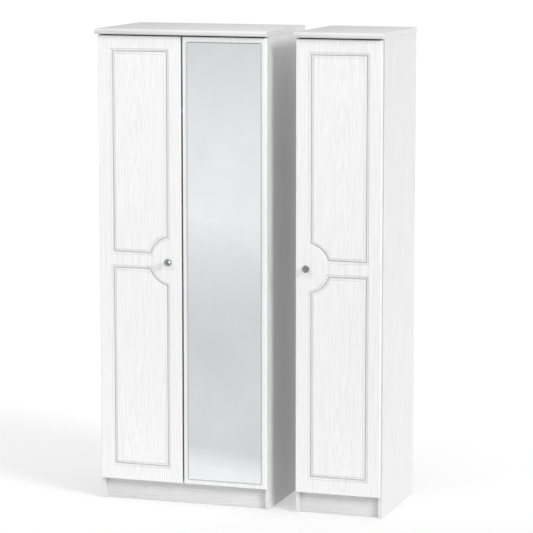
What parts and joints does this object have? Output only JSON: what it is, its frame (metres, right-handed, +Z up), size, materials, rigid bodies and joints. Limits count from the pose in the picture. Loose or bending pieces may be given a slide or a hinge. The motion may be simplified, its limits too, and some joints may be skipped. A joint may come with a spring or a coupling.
{
  "type": "wardrobe with doors",
  "caption": "White woodgrain wardrobe in separate tall cabinets side by side, with routed panelled doors, a mirror door and crystal knobs.",
  "frame": {"origin": "middle of the footprint of both cabinets, at floor level", "axes": "+Z up, +Y to the back, +X to the right as seen from the front"},
  "size_m": [1.222, 0.549, 1.97],
  "materials": {
    "white_woodgrain": "white vinyl foil with an embossed ash grain, satin",
    "white_board": "white melamine-faced board with a fine grain, satin",
    "white_hardboard": "white painted hardboard, matte",
    "beech": "plain turned beech with flutes, matte",
    "nickel_steel": "nickel-plated pressed steel, satin",
    "zinc_steel": "zinc-plated steel, satin",
    "chrome": "polished chrome",
    "crystal": "clear cut glass with polished facets",
    "mirror_glass": "silvered float glass, polished, bevelled edge",
    "foam_tape": "grey foam bonding tape",
    "clear_rubber": "clear soft bumper dots",
    "white_plastic": "white moulded plastic"
  },
  "bodies": {
    "double_cabinet": {"double_back": "white_hardboard", "double_base": "white_board", "double_cam_bolts": "zinc_steel", "double_cams": "zinc_steel", "double_dowels": "beech", "double_glides": "white_plastic", "double_hat_shelf": "white_board", "double_hinge_arms": "nickel_steel", "double_hinge_plates": "nickel_steel", "double_hinge_screws": "zinc_steel", "double_left_side": "white_woodgrain", "double_plinth": "white_woodgrain", "double_rear_rail": "white_board", "double_right_side": "white_woodgrain", "double_top": "white_woodgrain", "hanging_rail": "chrome", "hanging_rail_screws": "zinc_steel", "hanging_rail_sockets": "chrome"},
    "left_door": {"left_door_bumpers": "clear_rubber", "left_door_cup_screws": "zinc_steel", "left_door_hinge_cups": "nickel_steel", "left_door_hinge_pins": "zinc_steel", "left_door_knob_base": "chrome", "left_door_knob_crystal": "crystal", "left_door_knob_screw": "zinc_steel", "left_door_panel": "white_woodgrain"},
    "mirror_door": {"mirror_door_bumpers": "clear_rubber", "mirror_door_cup_screws": "zinc_steel", "mirror_door_glass": "mirror_glass", "mirror_door_glass_tape": "foam_tape", "mirror_door_hinge_cups": "nickel_steel", "mirror_door_hinge_pins": "zinc_steel", "mirror_door_panel": "white_woodgrain"},
    "single_cabinet": {"single_back": "white_hardboard", "single_base": "white_board", "single_cam_bolts": "zinc_steel", "single_cams": "zinc_steel", "single_dowels": "beech", "single_glides": "white_plastic", "single_hat_shelf": "white_board", "single_hinge_arms": "nickel_steel", "single_hinge_plates": "nickel_steel", "single_hinge_screws": "zinc_steel", "single_left_side": "white_woodgrain", "single_lower_shelf": "white_board", "single_plinth": "white_woodgrain", "single_rear_rail": "white_board", "single_right_side": "white_woodgrain", "single_shelf_pins": "zinc_steel", "single_top": "white_woodgrain", "single_upper_shelf": "white_board"},
    "single_door": {"single_door_bumpers": "clear_rubber", "single_door_cup_screws": "zinc_steel", "single_door_hinge_cups": "nickel_steel", "single_door_hinge_pins": "zinc_steel", "single_door_knob_base": "chrome", "single_door_knob_crystal": "crystal", "single_door_knob_screw": "zinc_steel", "single_door_panel": "white_woodgrain"}
  },
  "joints": [
    {"name": "left_door_hinge", "type": "hinge", "parent": "double_cabinet", "child": "left_door", "pos_m": [-0.598, -0.2255, 1.016], "axis": [0, 0, 1], "range_deg": [-95, 0]},
    {"name": "mirror_door_hinge", "type": "hinge", "parent": "double_cabinet", "child": "mirror_door", "pos_m": [0.116, -0.2255, 1.016], "axis": [0, 0, 1], "range_deg": [0, 95]},
    {"name": "single_cabinet_move", "type": "slide", "parent": "double_cabinet", "child": "single_cabinet", "axis": [1, 0, 0], "range_m": [0, 0.15]},
    {"name": "single_door_hinge", "type": "hinge", "parent": "single_cabinet", "child": "single_door", "pos_m": [0.598, -0.2255, 1.016], "axis": [0, 0, 1], "range_deg": [0, 95]}
  ]
}
